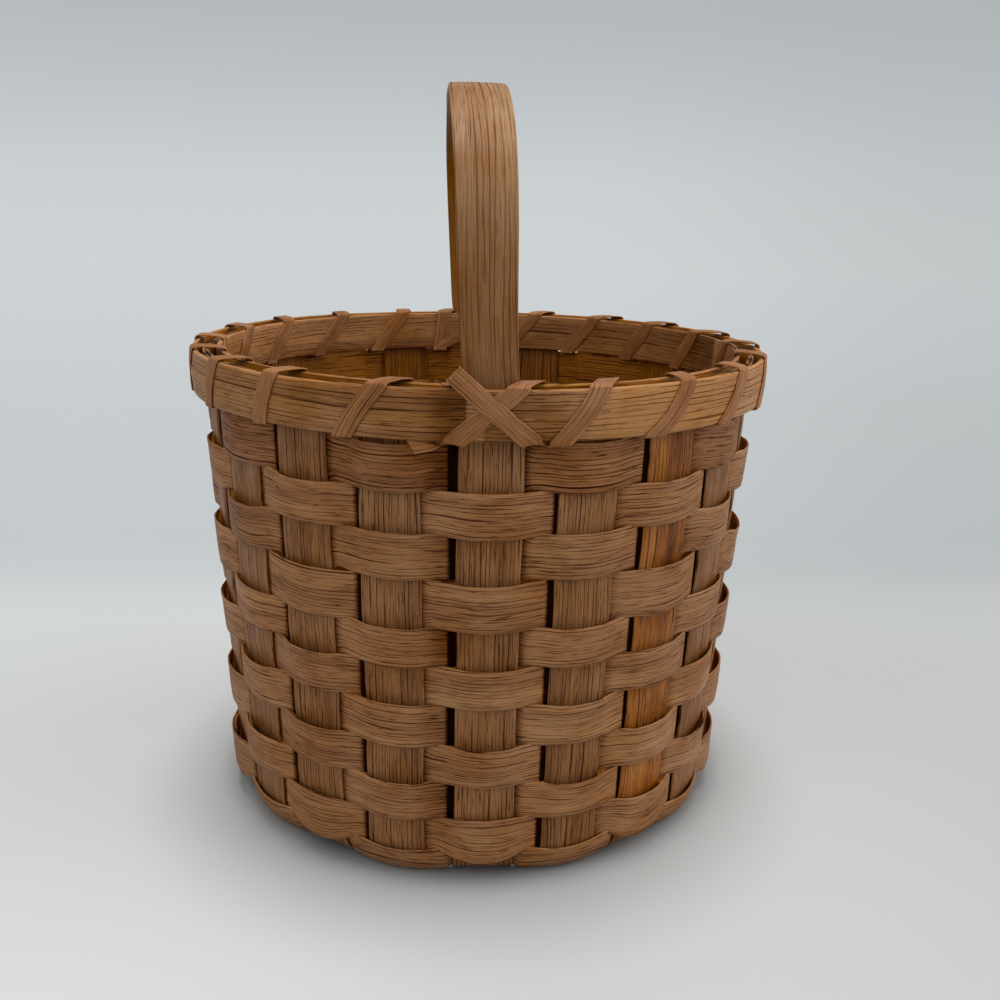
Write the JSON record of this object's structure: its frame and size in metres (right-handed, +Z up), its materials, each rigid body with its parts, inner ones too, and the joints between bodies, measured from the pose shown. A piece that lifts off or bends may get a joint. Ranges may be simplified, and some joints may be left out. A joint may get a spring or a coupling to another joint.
{
  "type": "woven basket",
  "caption": "Round splint basket, plain woven on folded-up uprights, with a lashed rim of two hoops and a fixed hoop handle, open at the top for carrying and storing things.",
  "frame": {"origin": "on the floor, under the middle of the plaited base", "axes": "+Z up, -Y towards the front handle leg, where the lashing starts, +X to the right seen from the front; the handle runs along Y"},
  "size_m": [0.242, 0.2448, 0.2941],
  "materials": {
    "oak_upright": "split oak, aged, fine straight grain, satin",
    "heartwood_upright": "split oak heartwood, orange brown, satin",
    "oak_weaver": "split oak, aged, fine straight grain, satin",
    "oak_rim": "shaved oak, handled smooth, satin",
    "oak_handle": "shaved oak, handled smooth, satin",
    "oak_lashing": "thin oak splint, satin"
  },
  "bodies": {
    "root": {"stake_front_back_1": "oak_upright", "stake_front_back_2": "oak_upright", "stake_front_back_3": "oak_upright", "stake_front_back_4": "oak_upright", "stake_front_back_5": "heartwood_upright", "stake_side_side_1": "oak_upright", "stake_side_side_2": "oak_upright", "stake_side_side_3": "oak_upright", "stake_side_side_4": "oak_upright", "stake_side_side_5": "oak_upright", "weaver_row_rim": "oak_weaver", "weaver_row_01": "oak_weaver", "weaver_row_02": "oak_weaver", "weaver_row_03": "oak_weaver", "weaver_row_04": "oak_weaver", "weaver_row_05": "oak_weaver", "weaver_row_06": "oak_weaver", "weaver_row_07": "oak_weaver", "weaver_row_08": "oak_weaver", "weaver_row_09": "oak_weaver", "weaver_row_10": "oak_weaver", "weaver_row_11": "oak_weaver", "rim_outer_hoop": "oak_rim", "rim_inner_hoop": "oak_rim", "handle": "oak_handle", "rim_lashing": "oak_lashing"}
  },
  "joints": []
}
